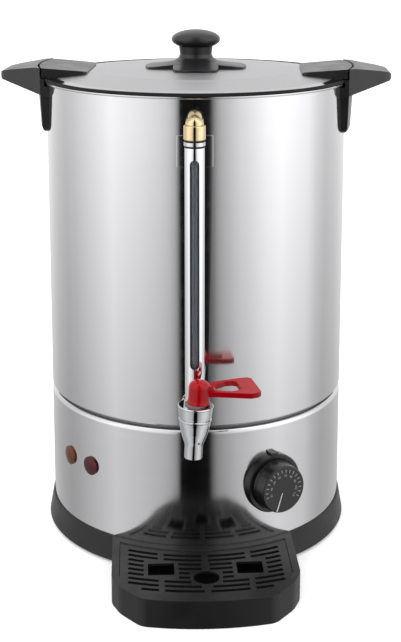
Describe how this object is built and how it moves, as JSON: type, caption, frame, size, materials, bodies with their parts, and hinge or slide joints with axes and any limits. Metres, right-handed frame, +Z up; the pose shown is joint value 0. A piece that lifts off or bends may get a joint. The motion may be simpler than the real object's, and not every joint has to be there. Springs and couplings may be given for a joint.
{
  "type": "hot water urn",
  "caption": "Steel hot water urn with a lift-off lid, sight gauge, self-closing tap with a press lever, thermostat dial, indicator lamps and a drip tray under the tap.",
  "frame": {"origin": "point on the table below the centre of the tank, on the tank's axis", "axes": "+Z up along the tank's axis, -Y towards the tap and the drip tray, +X to the right as seen from the tap's side"},
  "size_m": [0.3776, 0.3975, 0.4935],
  "materials": {
    "stainless_sheet": "bright annealed stainless sheet, polished",
    "zinc_steel": "zinc plated",
    "black_plastic": "moulded phenolic, satin",
    "black_silicone": "moulded silicone, matt",
    "white_silicone": "moulded silicone, matt",
    "red_fibre": "pressed fibre, matt",
    "aluminium_plate": "as cast",
    "element_sheath": "oxidised nickel alloy tube",
    "cream_ceramic": "moulded insulating housing",
    "copper_tube": "drawn copper",
    "amber_lens": "moulded polycarbonate, clear gloss",
    "red_lens": "moulded polycarbonate, clear gloss",
    "grey_nylon": "moulded nylon",
    "brass": "machined brass",
    "wire_red": "silicone insulated wire",
    "reset_red": "moulded nylon",
    "chrome": "polished chrome plate on brass",
    "lever_red": "moulded, high gloss",
    "glass": "clear borosilicate tube"
  },
  "bodies": {
    "root": {"tank_shell": "stainless_sheet", "tank_bottom": "stainless_sheet", "skirt": "stainless_sheet", "base_ring": "black_plastic", "bottom_plate": "zinc_steel", "base_screws": "zinc_steel", "feet": "black_silicone", "heat_spreader": "aluminium_plate", "heating_element": "element_sheath", "thermostat_body": "cream_ceramic", "thermostat_probe": "copper_tube", "thermostat_bezel": "black_plastic", "thermostat_screws": "zinc_steel", "cutout_body": "cream_ceramic", "cutout_probe": "copper_tube", "amber_lens": "amber_lens", "red_lens": "red_lens", "lamp_bodies": "cream_ceramic", "lamp_nuts": "grey_nylon", "inlet_socket": "black_plastic", "inlet_pins": "brass", "inlet_screws": "zinc_steel", "terminal_block": "cream_ceramic", "wiring": "wire_red", "handle_left": "black_plastic", "handle_right": "black_plastic", "handle_screws": "zinc_steel", "tap_body": "chrome", "tap_bonnet": "chrome", "shank_washers": "red_fibre", "shank_nut": "chrome", "gauge_glass": "glass", "gauge_guard": "chrome", "gauge_seals": "black_silicone", "gauge_nut": "brass", "gauge_cap": "brass", "gauge_bracket": "stainless_sheet"},
    "seal": {"rim_seal": "black_silicone"},
    "lid": {"lid_pan": "stainless_sheet", "lid_lug_left": "black_plastic", "lid_lug_right": "black_plastic", "lug_screws": "zinc_steel", "lid_knob": "black_plastic", "knob_screw": "zinc_steel"},
    "swivel": {"wear_washer": "white_silicone", "tap_spring": "zinc_steel"},
    "stem": {"tap_stem": "chrome", "seat_cup": "white_silicone", "lever_pin": "zinc_steel"},
    "lever": {"tap_lever": "lever_red"},
    "dial": {"thermostat_knob": "black_plastic"},
    "tray": {"drip_tray": "black_plastic"},
    "grille": {"drip_grille": "black_plastic"},
    "reset": {"reset_button": "reset_red"}
  },
  "joints": [
    {"name": "lid_turn", "type": "hinge", "parent": "root", "child": "seal", "pos_m": [0, 0, 0.4475], "axis": [0, 0, 1], "range_deg": [0, 30]},
    {"name": "lid_lift", "type": "slide", "parent": "seal", "child": "lid", "axis": [0, 0, 1], "range_m": [0, 0.3]},
    {"name": "lever_swivel", "type": "hinge", "parent": "root", "child": "swivel", "pos_m": [0, -0.195, 0.161], "axis": [0.0454, 0, 0.999], "range_deg": [-214, 0]},
    {"name": "stem_lift", "type": "slide", "parent": "swivel", "child": "stem", "axis": [0.0454, 0, 0.999], "range_m": [0, 0.0035], "stiffness_N_per_m": 900, "springref_m": -0.0015, "deforming": ["tap_spring"]},
    {"name": "lever_tilt", "type": "hinge", "parent": "stem", "child": "lever", "pos_m": [0.00145, -0.195, 0.19297], "axis": [-0.2921, 0.9563, 0.0133], "range_deg": [0, 16.6]},
    {"name": "thermostat_turn", "type": "hinge", "parent": "root", "child": "dial", "pos_m": [0.0714, -0.1262, 0.082], "axis": [-0.4924, 0.8704, 0], "range_deg": [-120, 161]},
    {"name": "tray_slide", "type": "slide", "parent": "root", "child": "tray", "axis": [0.0523, -0.9986, 0], "range_m": [0, 0.12]},
    {"name": "grille_lift", "type": "slide", "parent": "tray", "child": "grille", "axis": [0, 0, 1], "range_m": [0, 0.025]},
    {"name": "reset_press", "type": "slide", "parent": "root", "child": "reset", "axis": [0, 0, 1], "range_m": [0, 0.002], "stiffness_N_per_m": 400, "springref_m": -0.0005}
  ],
  "couplings": [
    {"joint": "lever_tilt", "follows": "stem_lift", "rad_per_m": 80}
  ]
}
